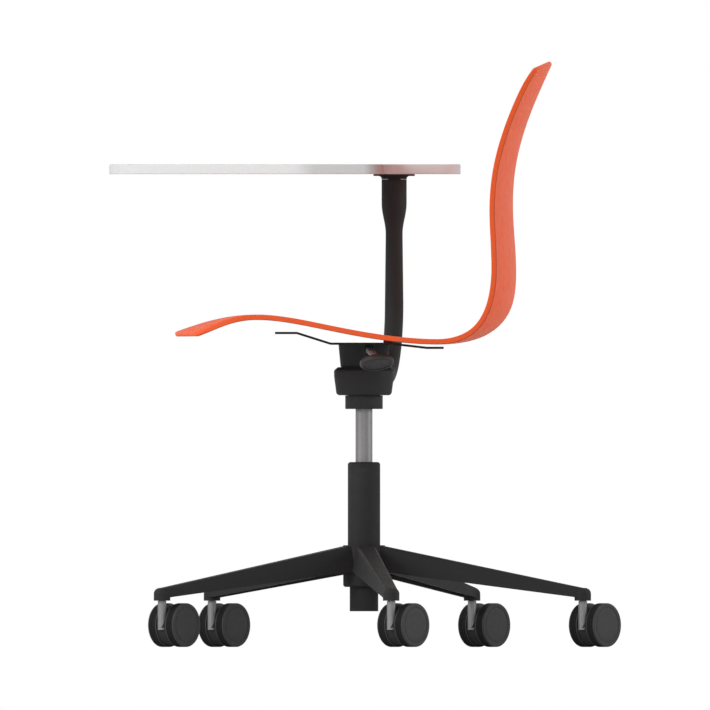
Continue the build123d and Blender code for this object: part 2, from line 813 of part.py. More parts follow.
# Arm collar
arm_upright = upright((0, 0, 0), arm_way)
tenon_start = arm_boss_reach - arm_tenon_length
set_screw_reaches = (tenon_start + set_screw_diameter, arm_boss_reach - set_screw_diameter)
tenon_bottom = arm_level - arm_tenon_diameter / 2
boss_foot = arm_level - arm_boss_diameter / 2
collar_foot = (collar_foot_diameter / 2, collar_bottom)
collar_belly = (collar_diameter / 2, collar_bottom + collar_belly_rise)
collar_shoulder = (collar_diameter / 2, collar_top - collar_shoulder_drop)
with BuildPart() as arm_collar:
    with BuildSketch(Plane.XZ) as collar_section:
        with BuildLine():
            Polyline(
                (0, collar_bottom),
                collar_foot,
                collar_belly,
                collar_shoulder,
                (collar_crown_diameter / 2, collar_top),
                (0, collar_top),
                close=True,
            )
        make_face()
        for corner, rounding in (
            (collar_foot, collar_foot_radius),
            (collar_belly, collar_belly_radius),
            (collar_shoulder, collar_corner_radius),
        ):
            fillet(collar_section.vertices().sort_by_distance(corner)[0], rounding)
    revolve(axis=Axis.Z)
    with BuildSketch(Plane(origin=up * arm_level, z_dir=arm_way)):
        Circle(arm_boss_diameter / 2)
    extrude(amount=arm_boss_reach)
    with BuildSketch(Plane(origin=up * arm_level + arm_way * tenon_start, z_dir=arm_way)):
        Circle(arm_tenon_diameter / 2)
    extrude(amount=arm_tenon_length, mode=Mode.SUBTRACT)
    for reach in set_screw_reaches:
        with BuildSketch(Plane(origin=arm_way * reach + up * collar_bottom)):
            Circle(set_screw_diameter / 2)
        extrude(amount=arm_level - collar_bottom, mode=Mode.SUBTRACT)
    revolve(
        tube_section(0, bush_radius + bearing_clearance, collar_bottom, collar_top),
        axis=Axis.Z,
        mode=Mode.SUBTRACT,
    )
    recess_radius = bush_flange_diameter / 2 + collar_recess_gap
    revolve(
        tube_section(0, recess_radius, collar_top - collar_recess, collar_top),
        axis=Axis.Z,
        mode=Mode.SUBTRACT,
    )
keep(arm_collar, "arm_collar")

with BuildPart() as arm_set_screws:
    for reach in set_screw_reaches:
        with BuildSketch(Plane(origin=arm_way * reach + up * boss_foot)):
            Circle(set_screw_diameter / 2 - touch_clearance)
            RegularPolygon(hex_radius, hex_sides, mode=Mode.SUBTRACT)
        extrude(amount=hex_depth)
        with BuildSketch(Plane(origin=arm_way * reach + up * (boss_foot + hex_depth))):
            Circle(set_screw_diameter / 2 - touch_clearance)
        extrude(amount=tenon_bottom - boss_foot - hex_depth)
keep(arm_set_screws, "arm_set_screws")

# Bent arm and post
bend_start = arm_reach - arm_bend_radius
bend_end = arm_level + arm_bend_radius
spindle_radius = pivot_spindle_diameter / 2
pivot_bore = spindle_radius + bearing_clearance + pivot_bush_wall
post_upright = upright(post_foot, arm_way)
flare_bottom = post_top - post_head_height - post_flare_height
bore_depth = pivot_spindle_length + running_gap
with BuildPart() as tablet_arm:
    with BuildSketch(Plane(origin=up * arm_level + arm_way * tenon_start, z_dir=arm_way)):
        Circle(arm_tenon_diameter / 2 - touch_clearance)
    extrude(amount=arm_tenon_length)
    with BuildSketch(Plane(origin=up * arm_level + arm_way * arm_boss_reach, z_dir=arm_way)):
        Circle(arm_root_diameter / 2)
    with BuildSketch(Plane(origin=up * arm_level + arm_way * bend_start, z_dir=arm_way)):
        Circle(arm_diameter / 2)
    loft()
    with BuildSketch(Plane(origin=up * arm_level + arm_way * bend_start, z_dir=arm_way)):
        Circle(arm_diameter / 2)
    with BuildLine(arm_upright) as bend:
        RadiusArc((bend_start, arm_level), (arm_reach, bend_end), -arm_bend_radius)
    sweep(path=bend.wire())
    with BuildSketch(post_upright):
        with BuildLine():
            Line((0, bend_end), (arm_diameter / 2, bend_end))
            lower = Line((arm_diameter / 2, bend_end), (post_waist_diameter / 2, flare_bottom))
            Spline(
                lower @ 1,
                (post_head_diameter / 2, post_top - post_head_height),
                tangents=(lower % 1, (0, 1)),
            )
            Line((post_head_diameter / 2, post_top - post_head_height), (post_head_diameter / 2, post_top))
            Line((post_head_diameter / 2, post_top), (0, post_top))
            Line((0, post_top), (0, bend_end))
        make_face()
    revolve(axis=post_axis)
    with Locations(post_foot + up * post_top):
        Hole(pivot_bore, bore_depth)
    with BuildSketch(Plane(origin=post_foot + up * groove_height, z_dir=arm_way)):
        Circle(set_screw_diameter / 2)
    extrude(amount=post_head_diameter, mode=Mode.SUBTRACT)
keep(tablet_arm, "tablet_arm")

with BuildPart() as pivot_bush:
    revolve(
        half_section(
            (
                (spindle_radius + bearing_clearance, post_top - bore_depth),
                (pivot_bore - touch_clearance, post_top - bore_depth),
                (pivot_bore - touch_clearance, post_top),
                (post_head_diameter / 2, post_top),
                (post_head_diameter / 2, post_top + pivot_bush_flange),
                (spindle_radius + bearing_clearance, post_top + pivot_bush_flange),
            ),
            post_upright,
        ),
        axis=post_axis,
    )
    with BuildSketch(Plane(origin=post_foot + up * groove_height, z_dir=arm_way)):
        Circle(dog_diameter / 2 + touch_clearance)
    extrude(amount=post_head_diameter, mode=Mode.SUBTRACT)
keep(pivot_bush, "pivot_bush")

groove_radius = spindle_radius - pivot_groove_depth
dog_tip = groove_radius + groove_side_gap
set_screw_end = sqrt((post_head_diameter / 2) ** 2 - (set_screw_diameter / 2) ** 2) - touch_clearance
with BuildPart() as pivot_set_screw:
    with BuildSketch(Plane(origin=post_foot + up * groove_height + arm_way * dog_tip, z_dir=arm_way)):
        Circle(dog_diameter / 2)
    extrude(amount=set_screw_end - dog_tip)
    with BuildSketch(Plane(origin=post_foot + up * groove_height + arm_way * pivot_bore, z_dir=arm_way)):
        Circle(set_screw_diameter / 2 - touch_clearance)
    extrude(amount=set_screw_end - pivot_bore)
    with BuildSketch(Plane(origin=post_foot + up * groove_height + arm_way * set_screw_end, z_dir=arm_way)):
        RegularPolygon(hex_radius, hex_sides)
    extrude(amount=-hex_depth, mode=Mode.SUBTRACT)
keep(pivot_set_screw, "pivot_set_screw")

# Pivot plate under the tablet. Its groove meets the set screw at both ends of the swing.
dog_half_angle = degrees(asin((dog_diameter / 2 + groove_side_gap) / groove_radius))
groove_half_height = dog_diameter / 2 + groove_side_gap
groove_way = arm_way.rotate(Axis.Z, -dog_half_angle)
cone_bottom = pivot_plate_bottom - pivot_cone_height
head_radius = post_head_diameter / 2
tablet_screw_ring = PolarLocations(tablet_screw_circle / 2, tablet_screw_count, tablet_screw_angle)
tablet_screw_places = [
    Location(post_foot + up * pivot_plate_bottom + place.position, (180, 0, 0)) for place in tablet_screw_ring
]
with BuildPart() as pivot_plate:
    with BuildSketch(post_upright):
        with BuildLine():
            Polyline(
                (head_radius, cone_bottom),
                (spindle_radius, cone_bottom),
                (spindle_radius, post_top - pivot_spindle_length),
                (0, post_top - pivot_spindle_length),
                (0, tablet_bottom),
                (pivot_plate_diameter / 2, tablet_bottom),
                (pivot_plate_diameter / 2, pivot_plate_bottom),
                (head_radius + pivot_cone_height, pivot_plate_bottom),
            )
            RadiusArc(
                (head_radius + pivot_cone_height, pivot_plate_bottom),
                (head_radius, cone_bottom),
                -pivot_cone_height,
            )
        make_face()
    revolve(axis=post_axis)
    revolve(
        tube_section(
            groove_radius,
            pivot_spindle_diameter,
            groove_height - groove_half_height,
            groove_height + groove_half_height,
            upright(post_foot, groove_way),
        ),
        axis=post_axis,
        revolution_arc=tablet_swing + 2 * dog_half_angle,
        mode=Mode.SUBTRACT,
    )
    with Locations(*tablet_screw_places):
        CounterSinkHole(screw_diameter / 2, screw_head_diameter / 2, pivot_plate_thickness + touch_clearance)
keep(pivot_plate, "pivot_plate")

with BuildPart() as tablet_screws:
    with Locations(*tablet_screw_places):
        add(flat_screw(tablet_screw_length))
keep(tablet_screws, "tablet_screws")

# Tablet board and its edge band
outer_side = post_foot.X - tablet_half_neck
inner_side = post_foot.X + tablet_half_neck
lap_end = post_foot.X + tablet_span
lap_edge = post_foot.Y - tablet_lap_edge
front_edge = post_foot.Y - tablet_front
tail_edge = post_foot.Y + tablet_tail
tablet_corners = (
    ((outer_side, tail_edge), tail_radius),
    ((inner_side, tail_edge), tail_radius),
    ((inner_side, lap_edge), elbow_radius),
    ((lap_end, lap_edge), lap_radius),
    ((lap_end, lap_edge - tablet_end_length), slant_radius),
    ((lap_end - tablet_slant, front_edge), front_radius),
    ((outer_side, front_edge), outer_radius),
)
with BuildSketch(Plane.XY.offset(tablet_bottom)) as tablet_outline:
    with BuildLine():
        Polyline(*[corner for corner, rounding in tablet_corners], close=True)
    make_face()
    for corner, rounding in tablet_corners:
        fillet(tablet_outline.vertices().sort_by_distance(corner)[0], rounding)

with BuildPart() as tablet_edge_band:
    extrude(tablet_outline.sketch, amount=tablet_thickness)
    fillet(tablet_edge_band.edges().group_by(Axis.Z)[0], edge_radius)
    fillet(tablet_edge_band.edges().group_by(Axis.Z)[-1], edge_radius)
    with BuildSketch(Plane.XY.offset(tablet_bottom)):
        add(tablet_outline.sketch_local)
        offset(amount=-edge_band)
    extrude(amount=tablet_thickness, mode=Mode.SUBTRACT)
keep(tablet_edge_band, "tablet_edge_band")

with BuildPart() as tablet_board:
    with BuildSketch(Plane.XY.offset(tablet_bottom)):
        add(tablet_outline.sketch_local)
        offset(amount=-edge_band - touch_clearance)
    extrude(amount=tablet_thickness)
    with Locations(*tablet_screw_places):
        Hole(screw_diameter / 2, tablet_screw_length + touch_clearance)
keep(tablet_board, "tablet_board")


# Casters
def caster(number, leg_angle):
    """Stem, frame, axle and two wheels of the caster under one leg."""
    foot = Vector(leg_reach, 0, 0).rotate(Axis.Z, leg_angle)
    trail_way = Vector(1, 0, 0).rotate(Axis.Z, caster_heading)
    axle_way = up.cross(trail_way)
    axle_point = foot + trail_way * caster_trail + up * wheel_radius
    side = upright(foot, trail_way)
    stem_top = boss_bottom - running_gap

    with BuildPart() as stem:
        with BuildSketch(Plane(origin=foot + up * stem_foot)):
            Circle(stem_diameter / 2)
        extrude(amount=stem_top - stem_foot)
        with BuildSketch(Plane(origin=foot + up * stem_top)):
            Circle(pin_diameter / 2)
        extrude(amount=pin_length)
        with BuildSketch(side):
            with BuildLine():
                window_foot = stem_foot + stem_bar
                window_half = stem_diameter / 2 - window_leg
                Polyline(
                    (-window_half, window_foot),
                    (window_half, window_foot),
                    (0, window_foot + window_height),
                    close=True,
                )
            make_face()
        extrude(amount=stem_diameter, both=True, mode=Mode.SUBTRACT)
    keep(stem, f"caster_{number}_stem")

    with BuildPart() as frame:
        with BuildSketch(side):
            with Locations((caster_trail, wheel_radius)):
                Circle(frame_radius)
        extrude(amount=wheel_gap / 2 - frame_side_gap, both=True)
        with BuildSketch(Plane(origin=foot + up * stem_foot)):
            Circle(stem_diameter / 2 + touch_clearance)
        extrude(amount=boss_bottom - stem_foot, mode=Mode.SUBTRACT)
        with BuildSketch(side):
            with Locations((caster_trail, wheel_radius)):
                Circle(axle_diameter / 2 + touch_clearance)
        extrude(amount=wheel_gap, both=True, mode=Mode.SUBTRACT)
    keep(frame, f"caster_{number}_frame")

    with BuildPart() as axle:
        with BuildSketch(side):
            with Locations((caster_trail, wheel_radius)):
                Circle(axle_diameter / 2)
        extrude(amount=wheel_gap / 2 + wheel_bore_depth - axle_end_gap, both=True)
    keep(axle, f"caster_{number}_axle")

    inner = wheel_gap / 2
    outer = inner + wheel_width
    face = outer - wheel_recess
    bore = axle_diameter / 2 + bearing_clearance
    cap = wheel_cap_diameter / 2
    for name, way in (("left", axle_way), ("right", -axle_way)):
        with BuildPart() as wheel:
            with BuildSketch(upright(axle_point, way)) as rim:
                with BuildLine():
                    Polyline(
                        (inner + wheel_bore_depth, 0),
                        (face, 0),
                        (face, cap - wheel_groove),
                        (face - wheel_groove, cap - wheel_groove),
                        (face - wheel_groove, cap),
                        (face, cap),
                        (outer, cap + wheel_groove),
                        (outer, wheel_radius),
                        (inner, wheel_radius),
                        (inner, wheel_radius - wheel_rim_wall),
                        (outer - wheel_web, wheel_radius - wheel_rim_wall),
                        (outer - wheel_web, wheel_hub_diameter / 2),
                        (inner, wheel_hub_diameter / 2),
                        (inner, bore),
                        (inner + wheel_bore_depth, bore),
                        close=True,
                    )
                make_face()
                fillet(rim.vertices().sort_by_distance((outer, wheel_radius))[0], wheel_edge_radius)
            revolve(axis=Axis(axle_point, way))
        keep(wheel, f"caster_{number}_wheel_{name}")


for number, leg_angle in enumerate(leg_angles, start=1):
    caster(number, leg_angle)
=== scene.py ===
import json
import math

import bpy
import numpy as np
from mathutils import Matrix, Vector


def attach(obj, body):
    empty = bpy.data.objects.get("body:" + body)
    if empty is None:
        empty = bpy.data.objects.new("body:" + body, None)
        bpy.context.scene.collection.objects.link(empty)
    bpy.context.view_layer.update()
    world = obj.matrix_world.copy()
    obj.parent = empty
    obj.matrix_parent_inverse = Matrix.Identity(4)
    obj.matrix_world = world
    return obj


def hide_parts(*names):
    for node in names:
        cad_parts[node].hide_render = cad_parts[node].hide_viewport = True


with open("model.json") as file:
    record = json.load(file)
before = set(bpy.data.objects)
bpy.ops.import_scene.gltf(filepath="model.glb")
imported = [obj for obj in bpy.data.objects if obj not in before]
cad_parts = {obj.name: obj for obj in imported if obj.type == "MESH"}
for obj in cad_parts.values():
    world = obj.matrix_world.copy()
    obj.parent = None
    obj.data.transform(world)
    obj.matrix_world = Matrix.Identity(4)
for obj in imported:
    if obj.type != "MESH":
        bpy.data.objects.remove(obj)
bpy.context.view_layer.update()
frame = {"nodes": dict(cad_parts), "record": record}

scene = bpy.context.scene
nodes = frame["nodes"]
MM = 0.001

# Shapes of the seat shell, in millimetres, as in the part's source
SEAT_HALF_WIDTH = 222.0
SHELL_THICKNESS = 7.6
WING_DEPTH = 27.8
LIP_BOW = 34.0
TOP_BOW = 15.0
FRONT_CORNER = 95.0
BACK_FOOT_HALF_WIDTH = 232.0
BACK_FOOT_HEIGHT = 470.0
BACK_TOP_HALF_WIDTH = 188.0
BACK_CORNER = 45.0
# Middle line of the sitting surface: Y and Z, share of the wing, share of the lip's bow
SITTING_STATIONS = (
    ((-262.0, 442.0), 0.0, 1.0),
    ((-215.0, 457.0), 0.0, 0.55),
    ((-154.0, 465.4), 0.0, 0.1),
    ((-53.0, 451.4), 0.0, 0.0),
    ((36.0, 435.8), 0.0, 0.0),
    ((92.0, 431.2), 0.0, 0.0),
    ((146.7, 435.7), 0.55, 0.0),
    ((172.3, 445.9), 0.8, 0.0),
    ((193.6, 466.5), 1.0, 0.0),
    ((205.5, 519.4), 1.0, 0.0),
    ((201.3, 604.8), 1.0, 0.0),
    ((205.7, 677.6), 1.0, 0.0),
    ((224.8, 745.8), 1.0, 0.0),
    ((255.6, 817.4), 1.0, 0.0),
)
PLATE_TOP = 426.2
SEAT_SCREWS = ((28.0, 34.0), (62.0, 34.0))
BOSS_RADIUS = 6.0
BOSS_ROOT = 2.5
BOSS_SINK = 2.2
BOSS_SEGMENTS = 40
SCREW_HOLE = 2.5
# Half sizes, across and along, of the patch of underside that is searched over a boss
BOSS_PATCH = (12.0, 9.0)
# A point well inside the shell's outline, which tells outward from inward
SHELL_MIDDLE = (0.0, 60.0, 600.0)
# Step along the shell over which its slope is taken
SLOPE_STEP = 0.01

# Casters, in millimetres and degrees
LEG_REACH = 312.0
LEG_FIRST_ANGLE = 7.0
LEG_COUNT = 5
CASTER_HEADING = 141.0
CASTER_TRAIL = 27.0
WHEEL_RADIUS = 30.7
WHEEL_WIDTH = 15.0
WHEEL_GAP = 16.0
WHEEL_EDGE = 1.5
WHEEL_SEGMENTS = 112

# Photo: a level view without perspective, with the column's axis and the floor at these pixels
PHOTO_PIXELS = 710
PHOTO_SCALE = 1.4
PHOTO_AXIS_COLUMN = 364
PHOTO_FLOOR_ROW = 647
CAMERA_DISTANCE = 3.0

# Studio, in metres and watts: each lamp has a place, an aim, a size and a power
FLOOR_HALF = 2.6
AMBIENT = 0.2
LAMPS = (
    ("key", (1.7, -2.85, 1.6), (0.0, 0.0, 0.5), 1.6, 98.0),
    ("fill", (3.6, -0.1, 0.75), (0.0, 0.0, 0.5), 1.6, 22.0),
    ("back", (0.5, 3.2, 1.1), (0.0, 0.0, 0.6), 1.6, 53.0),
    ("top", (-0.4, -0.3, 3.3), (-0.4, -0.3, 0.0), 3.0, 44.0),
)


def mesh_object(name, points, faces, smooth_angle=None):
    """A mesh object from points in metres, with smooth faces and sharp edges above an angle."""
    mesh = bpy.data.meshes.new(name)
    mesh.from_pydata([tuple(p) for p in points], [], [tuple(f) for f in faces])
    mesh.validate()
    mesh.update()
    mesh.shade_smooth()
    if smooth_angle is not None:
        mesh.set_sharp_from_angle(angle=math.radians(smooth_angle))
    made = bpy.data.objects.new(name, mesh)
    scene.collection.objects.link(made)
    return made


def lathe(profile, segments):
    """Points and faces of a profile of radius and height, turned about the local Z axis. Radius 0 is a pole."""
    points, faces, rows = [], [], []
    for radius, height in profile:
        if radius < 1e-9:
            rows.append([len(points)])
            points.append((0.0, 0.0, height))
            continue
        rows.append(list(range(len(points), len(points) + segments)))
        for step in range(segments):
            turn = 2 * math.pi * step / segments
            points.append((radius * math.cos(turn), radius * math.sin(turn), height))
    for low, high in zip(rows, rows[1:]):
        for step in range(segments):
            after = (step + 1) % segments
            if len(low) == 1:
                faces.append((low[0], high[after], high[step]))
            elif len(high) == 1:
                faces.append((low[step], low[after], high[0]))
            else:
                faces.append((low[step], low[after], high[after], high[step]))
    return points, faces


def arc(centre, radius, start, end, steps):
    """Points on an arc, from one angle to another in degrees."""
    return [
        (
            centre[0] + radius * math.cos(math.radians(start + (end - start) * i / steps)),
            centre[1] + radius * math.sin(math.radians(start + (end - start) * i / steps)),
        )
        for i in range(steps + 1)
    ]


# Materials
def shader(name):
    """A material with one Principled shader: the material, its node tree and the shader."""
    made = bpy.data.materials.new(name)
    made.use_nodes = True
    tree = made.node_tree
    tree.nodes.clear()
    output = tree.nodes.new("ShaderNodeOutputMaterial")
    bsdf = tree.nodes.new("ShaderNodeBsdfPrincipled")
    tree.links.new(bsdf.outputs["BSDF"], output.inputs["Surface"])
    return made, tree, bsdf


def place(tree, stretch=(1.0, 1.0, 1.0)):
    """Coordinates of the piece, in metres, stretched along its axes."""
    coords = tree.nodes.new("ShaderNodeTexCoord")
    mapping = tree.nodes.new("ShaderNodeMapping")
    mapping.inputs["Scale"].default_value = stretch
    tree.links.new(coords.outputs["Object"], mapping.inputs["Vector"])
    return mapping.outputs["Vector"]


def noise(tree, vector, scale, detail=3.0, roughness=0.5, distortion=0.0):
    """Value of a noise texture, with its scale per metre."""
    made = tree.nodes.new("ShaderNodeTexNoise")
    made.inputs["Scale"].default_value = scale
    made.inputs["Detail"].default_value = detail
    made.inputs["Roughness"].default_value = roughness
    made.inputs["Distortion"].default_value = distortion
    tree.links.new(vector, made.inputs["Vector"])
    return made.outputs["Fac"]


def cells(tree, vector, scale, feature="F1"):
    """Distance in a cell texture, with its scale per metre."""
    made = tree.nodes.new("ShaderNodeTexVoronoi")
    made.feature = feature
    made.inputs["Scale"].default_value = scale
    tree.links.new(vector, made.inputs["Vector"])
    return made.outputs["Distance"]


def span(tree, value, low, high, to_low, to_high):
    """A value mapped from one range to another, clamped."""
    made = tree.nodes.new("ShaderNodeMapRange")
    for key, number in (("From Min", low), ("From Max", high), ("To Min", to_low), ("To Max", to_high)):
        made.inputs[key].default_value = number
    tree.links.new(value, made.inputs["Value"])
    return made.outputs["Result"]


def sums(tree, operation, a, b):
    """Result of a math node on two values, each a socket or a number."""
    made = tree.nodes.new("ShaderNodeMath")
    made.operation = operation
    for socket, value in zip(made.inputs, (a, b)):
        if isinstance(value, (int, float)):
            socket.default_value = value
        else:
            tree.links.new(value, socket)
    return made.outputs["Value"]


def tint(tree, share, first, second):
    """Colour between two, by a share. Either colour may be a socket."""
    made = tree.nodes.new("ShaderNodeMix")
    made.data_type = "RGBA"
    tree.links.new(share, made.inputs["Factor"])
    for key, colour in (("A", first), ("B", second)):
        socket = [s for s in made.inputs if s.name == key and s.type == "RGBA"][0]
        if isinstance(colour, (tuple, list)):
            socket.default_value = (*colour, 1.0)
        else:
            tree.links.new(colour, socket)
    return [s for s in made.outputs if s.type == "RGBA"][0]


def bumps(tree, bsdf, heights):
    """Bump from a list of height, strength and depth in metres, the coarsest first."""
    normal = None
    for height, strength, depth in heights:
        made = tree.nodes.new("ShaderNodeBump")
        made.inputs["Strength"].default_value = strength
        made.inputs["Distance"].default_value = depth
        tree.links.new(height, made.inputs["Height"])
        if normal is not None:
            tree.links.new(normal, made.inputs["Normal"])
        normal = made.outputs["Normal"]
    tree.links.new(normal, bsdf.inputs["Normal"])


def edge_wear(tree, vector, low, high, scale):
    """Share of wear: high on outer edges, broken up by noise."""
    geometry = tree.nodes.new("ShaderNodeNewGeometry")
    edges = span(tree, geometry.outputs["Pointiness"], low, high, 0.0, 1.0)
    broken = span(tree, noise(tree, vector, scale, 4.0, 0.6), 0.42, 0.62, 0.0, 1.0)
    return sums(tree, "MULTIPLY", edges, broken)


def moulded(name, colour, lighter, rough, specular, grain, grain_depth, wear=0.0, painted_rim_shade=None):
    """Moulded plastic: a fine spark texture, slight clouding, faint scuffs and, where it wears, paler edges.
    A mesh attribute may mark a painted shade line: darker colour that stands in for the shade along a rim's lower
    edge."""
    made, tree, bsdf = shader(name)
    vector = place(tree)
    cloud = span(tree, noise(tree, vector, 6.0, 3.0), 0.3, 0.7, 0.0, 1.0)
    speck = span(tree, noise(tree, vector, 700.0, 2.0), 0.35, 0.65, 0.0, 0.3)
    base = tint(tree, sums(tree, "MULTIPLY", cloud, 0.35), colour, lighter)
    base = tint(tree, sums(tree, "MULTIPLY", speck, 0.4), base, lighter)
    if wear:
        worn = sums(tree, "MULTIPLY", edge_wear(tree, vector, 0.54, 0.64, 60.0), wear)
        base = tint(tree, worn, base, tuple(min(1.0, c * 1.5 + 0.01) for c in lighter))
    # Painted shade: the marked points get a darker orange, standing in for shade along the rim's lower edge
    if painted_rim_shade:
        mark = tree.nodes.new("ShaderNodeAttribute")
        mark.attribute_name = painted_rim_shade
        line = sums(tree, "MULTIPLY", mark.outputs["Fac"], 0.8)
        base = tint(tree, line, base, tuple(c * 0.4 for c in colour))
    tree.links.new(base, bsdf.inputs["Base Color"])
    scuffs = span(tree, noise(tree, place(tree, (1.0, 8.0, 1.0)), 45.0, 4.0, 0.7, 0.6), 0.55, 0.75, 0.0, 0.1)
    fine = span(tree, noise(tree, vector, 90.0, 3.0), 0.3, 0.7, rough - 0.05, rough + 0.05)
    tree.links.new(sums(tree, "ADD", fine, scuffs), bsdf.inputs["Roughness"])
    bsdf.inputs["Specular IOR Level"].default_value = specular
    bumps(
        tree,
        bsdf,
        (
            (noise(tree, vector, 14.0, 2.0), 0.05, 0.002),
            (cells(tree, vector, grain), 0.5, grain_depth),
            (noise(tree, vector, grain * 1.7, 2.0), 0.35, grain_depth),
        ),
    )
    return made


def powder_coat(name, colour, lighter, rough, specular):
    """Powder coat on metal: a soft orange-peel skin with slightly worn edges."""
    made, tree, bsdf = shader(name)
    vector = place(tree)
    cloud = span(tree, noise(tree, vector, 9.0, 4.0), 0.3, 0.7, 0.0, 0.5)
    base = tint(tree, cloud, colour, lighter)
    worn = edge_wear(tree, vector, 0.56, 0.68, 80.0)
    base = tint(tree, sums(tree, "MULTIPLY", worn, 0.12), base, (0.12, 0.12, 0.122))
    tree.links.new(base, bsdf.inputs["Base Color"])
    skin = span(tree, noise(tree, vector, 60.0, 4.0), 0.3, 0.7, rough - 0.06, rough + 0.06)
    tree.links.new(skin, bsdf.inputs["Roughness"])
    bsdf.inputs["Specular IOR Level"].default_value = specular
    bumps(
        tree,
        bsdf,
        (
            (noise(tree, vector, 420.0, 2.0, 0.45), 0.14, 0.0001),
            (noise(tree, vector, 1500.0, 2.0), 0.12, 0.00005),
        ),
    )
    return made


def turned_metal(name, colour, darker, rough, stretch, lines):
    """Ground or drawn metal, with fine lines across one axis and a little staining."""
    made, tree, bsdf = shader(name)
    vector = place(tree)
    streaks = noise(tree, place(tree, stretch), lines, 4.0, 0.65)
    stain = span(tree, noise(tree, vector, 22.0, 5.0, 0.6), 0.45, 0.75, 0.0, 0.6)
    base = tint(tree, span(tree, streaks, 0.3, 0.7, 0.0, 1.0), darker, colour)
    base = tint(tree, stain, base, darker)
    tree.links.new(base, bsdf.inputs["Base Color"])
    bsdf.inputs["Metallic"].default_value = 0.35
    bsdf.inputs["Specular IOR Level"].default_value = 0.3
    lined = span(tree, streaks, 0.3, 0.7, rough - 0.07, rough + 0.07)
    stained = sums(tree, "MULTIPLY", stain, 0.1)
    tree.links.new(sums(tree, "ADD", lined, stained), bsdf.inputs["Roughness"])
    bumps(tree, bsdf, ((streaks, 0.18, 0.0001),))
    return made


def laminate(name, colour, warmer, rough):
    """High-pressure laminate: a faint pearl texture and hairline scratches."""
    made, tree, bsdf = shader(name)
    vector = place(tree)
    cloud = span(tree, noise(tree, vector, 5.0, 4.0), 0.3, 0.7, 0.0, 0.6)
    speck = span(tree, noise(tree, vector, 900.0, 2.0), 0.4, 0.6, 0.0, 0.25)
    base = tint(tree, cloud, colour, warmer)
    base = tint(tree, speck, base, tuple(c * 0.93 for c in colour))
    tree.links.new(base, bsdf.inputs["Base Color"])
    hair = noise(tree, place(tree, (1.0, 30.0, 1.0)), 40.0, 3.0, 0.7, 0.4)
    scratch = span(tree, hair, 0.62, 0.7, 0.0, 0.12)
    pearl = span(tree, noise(tree, vector, 30.0, 4.0), 0.3, 0.7, rough - 0.05, rough + 0.05)
    tree.links.new(sums(tree, "ADD", pearl, scratch), bsdf.inputs["Roughness"])
    bsdf.inputs["Specular IOR Level"].default_value = 0.45
    bumps(
        tree,
        bsdf,
        ((cells(tree, vector, 1100.0, "SMOOTH_F1"), 0.12, 0.0001), (scratch, 0.2, 0.00005)),
    )
    return made


finishes = {
    "orange_shell": moulded(
        "orange_polypropylene",
        (0.66, 0.076, 0.0105),
        (0.69, 0.088, 0.015),
        rough=0.56,
        specular=0.27,
        grain=1500.0,
        grain_depth=0.000006,
        # painted shade line along the rim's lower edge
        painted_rim_shade="painted_rim_shade",
    ),
    "black_nylon": moulded(
        "black_nylon",
        (0.021, 0.021, 0.0212),
        (0.025, 0.025, 0.0253),
        rough=0.58,
        specular=0.07,
        grain=1300.0,
        grain_depth=0.0001,
        wear=0.15,
    ),
    "wheel_nylon": moulded(
        "wheel_nylon",
        (0.042, 0.042, 0.0424),
        (0.048, 0.048, 0.0484),
        rough=0.58,
        specular=0.1,
        grain=1600.0,
        grain_depth=0.00008,
        wear=0.2,
    ),
    "white_nylon": moulded(
        "bearing_nylon",
        (0.72, 0.71, 0.66),
        (0.78, 0.77, 0.73),
        rough=0.45,
        specular=0.4,
        grain=1200.0,
        grain_depth=0.0001,
    ),
    "pale_edge": moulded(
        "edge_band",
        (0.52, 0.52, 0.52),
        (0.55, 0.55, 0.55),
        rough=0.5,
        specular=0.25,
        grain=1200.0,
        grain_depth=0.00001,
    ),
    "white_board": laminate("white_laminate", (0.8, 0.8, 0.795), (0.78, 0.775, 0.765), rough=0.42),
    "black_paint": powder_coat(
        "black_powder_coat",
        (0.023, 0.023, 0.0232),
        (0.027, 0.027, 0.0272),
        rough=0.58,
        specular=0.06,
    ),
    "black_cast": powder_coat(
        "black_cast_coat",
        (0.0255, 0.0268, 0.0274),
        (0.03, 0.0315, 0.0322),
        rough=0.58,
        specular=0.06,
    ),
    "grey_steel": turned_metal(
        "ground_steel",
        (0.2, 0.2, 0.204),
        (0.16, 0.16, 0.163),
        rough=0.46,
        stretch=(1.0, 1.0, 40.0),
        lines=60.0,
    ),
    "bare_steel": turned_metal(
        "zinc_plated",
        (0.4, 0.4, 0.395),
        (0.31, 0.31, 0.305),
        rough=0.4,
        stretch=(6.0, 6.0, 6.0),
        lines=90.0,
    ),
}
tread_finish = moulded(
    "tread_rubber",
    (0.01, 0.01, 0.0102),
    (0.014, 0.014, 0.0142),
    rough=0.72,
    specular=0.06,
    grain=900.0,
    grain_depth=0.00008,
    wear=0.1,
)
# Painted light: the lever's own finishes are lighter than the other black nylon and steel, to make up for the
# shade that the seat casts over the lever
lever_finishes_lightened_for_shade = {
    "lever_paddle": moulded(
        "paddle_nylon_lightened_for_shade",
        (0.024, 0.024, 0.0243),
        (0.032, 0.032, 0.0324),
        rough=0.5,
        specular=0.25,
        grain=1300.0,
        grain_depth=0.0001,
        wear=0.2,
    ),
    # Painted light: the rod's steel is lighter than the bare steel to make up for the seat's shade, and cooler in
    # tint against the orange light that the shell throws on it
    "lever_rod": turned_metal(
        "drawn_steel_lightened_for_shade",
        (0.46, 0.5, 0.51),
        (0.37, 0.4, 0.41),
        rough=0.4,
        stretch=(1.0, 40.0, 40.0),
        lines=40.0,
    ),
}
for row in frame["record"]["subparts"]:
    mesh = nodes[row["node"]].data
    mesh.materials.clear()
    mesh.materials.append(lever_finishes_lightened_for_shade.get(row["node"], finishes[row["material_slot"]]))


